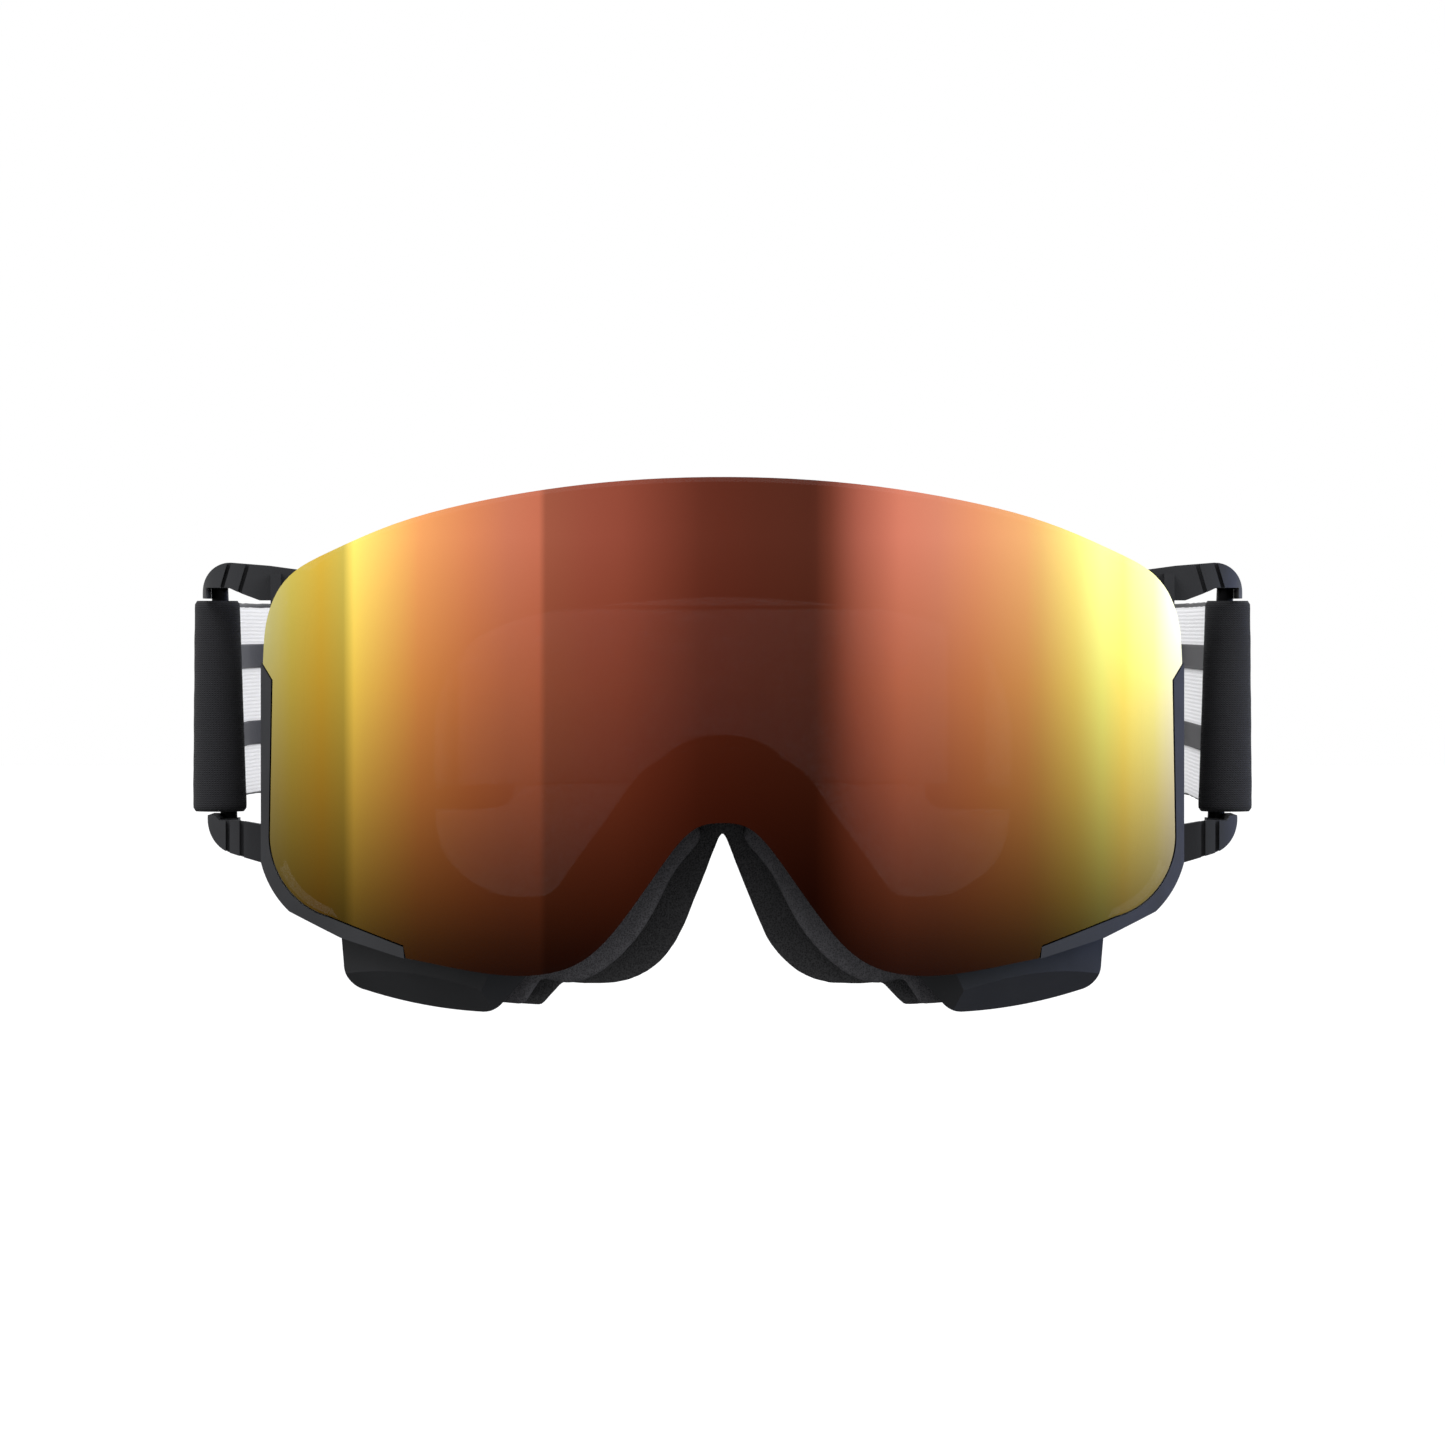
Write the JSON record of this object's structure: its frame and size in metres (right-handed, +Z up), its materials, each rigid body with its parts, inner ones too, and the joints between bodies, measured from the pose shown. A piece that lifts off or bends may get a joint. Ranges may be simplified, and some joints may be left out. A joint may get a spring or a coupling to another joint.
{
  "type": "ski goggles",
  "caption": "Snow goggles with a wide mirrored cylindrical lens, layered face foam, hinged outriggers and an adjustable elastic head strap.",
  "frame": {"origin": "middle of the face opening, at the strap's mid-height", "axes": "+Z up, the lens faces -Y, +X is the wearer's left"},
  "size_m": [0.2015, 0.2624, 0.0966],
  "materials": {
    "mirror_lens": "polished",
    "clear_lens": "polished",
    "gasket_foam": "matte",
    "frame_polymer": "satin",
    "guard_polymer": "matte",
    "grey_foam": "matte",
    "dark_foam": "matte",
    "fleece": "matte",
    "vent_foam": "matte",
    "webbing": "matte",
    "grip_silicone": "satin",
    "strap_cover": "matte",
    "bar_polymer": "satin",
    "slider_polymer": "satin"
  },
  "bodies": {
    "frame": {"frame_chassis": "frame_polymer", "side_frame_left": "frame_polymer", "side_frame_right": "frame_polymer", "cheek_guard_left": "guard_polymer", "cheek_guard_right": "guard_polymer", "foam_spacer": "grey_foam", "foam_face": "dark_foam", "fleece_lining": "fleece", "vent_foam_top": "vent_foam", "vent_foam_left": "vent_foam", "vent_foam_right": "vent_foam", "strap_left": "webbing", "strap_right": "webbing", "grip_stripes_left": "grip_silicone", "grip_stripes_right": "grip_silicone"},
    "lens_unit": {"outer_lens": "mirror_lens", "lens_gasket": "gasket_foam", "inner_lens": "clear_lens", "lens_tabs": "frame_polymer"},
    "link_left": {"outrigger_link_left": "frame_polymer"},
    "outrigger_left": {"outrigger_bracket_left": "frame_polymer", "strap_bar_left": "bar_polymer", "strap_sleeve_left": "strap_cover"},
    "adjuster_left": {"slider_left": "slider_polymer", "strap_tail_left": "webbing"},
    "link_right": {"outrigger_link_right": "frame_polymer"},
    "outrigger_right": {"outrigger_bracket_right": "frame_polymer", "strap_bar_right": "bar_polymer", "strap_sleeve_right": "strap_cover"},
    "adjuster_right": {"slider_right": "slider_polymer", "strap_tail_right": "webbing"}
  },
  "joints": [
    {"name": "lens_release", "type": "slide", "parent": "frame", "child": "lens_unit", "axis": [0, -1, 0], "range_m": [0, 0.03]},
    {"name": "outrigger_left_flex", "type": "hinge", "parent": "frame", "child": "outrigger_left", "pos_m": [0.09143, -0.01029, 0], "axis": [0, 0, -1], "range_deg": [-6, 12], "stiffness_Nm_per_rad": 0.05},
    {"name": "link_left_flex", "type": "hinge", "parent": "frame", "child": "link_left", "pos_m": [0.08985, -0.0109, 0], "axis": [0, 0, -1], "range_deg": [-3.2, 6.2]},
    {"name": "strap_adjust_left", "type": "slide", "parent": "frame", "child": "adjuster_left", "axis": [0.766, -0.6428, 0], "range_m": [-0.008, 0.008]},
    {"name": "outrigger_right_flex", "type": "hinge", "parent": "frame", "child": "outrigger_right", "pos_m": [-0.09143, -0.01029, 0], "axis": [0, 0, 1], "range_deg": [-6, 12], "stiffness_Nm_per_rad": 0.05},
    {"name": "link_right_flex", "type": "hinge", "parent": "frame", "child": "link_right", "pos_m": [-0.08985, -0.0109, 0], "axis": [0, 0, 1], "range_deg": [-3.2, 6.2]},
    {"name": "strap_adjust_right", "type": "slide", "parent": "frame", "child": "adjuster_right", "axis": [-0.766, -0.6428, 0], "range_m": [-0.008, 0.008]}
  ],
  "couplings": [
    {"joint": "link_left_flex", "follows": "outrigger_left_flex", "ratio": 0.5},
    {"joint": "link_right_flex", "follows": "outrigger_right_flex", "ratio": 0.5}
  ]
}
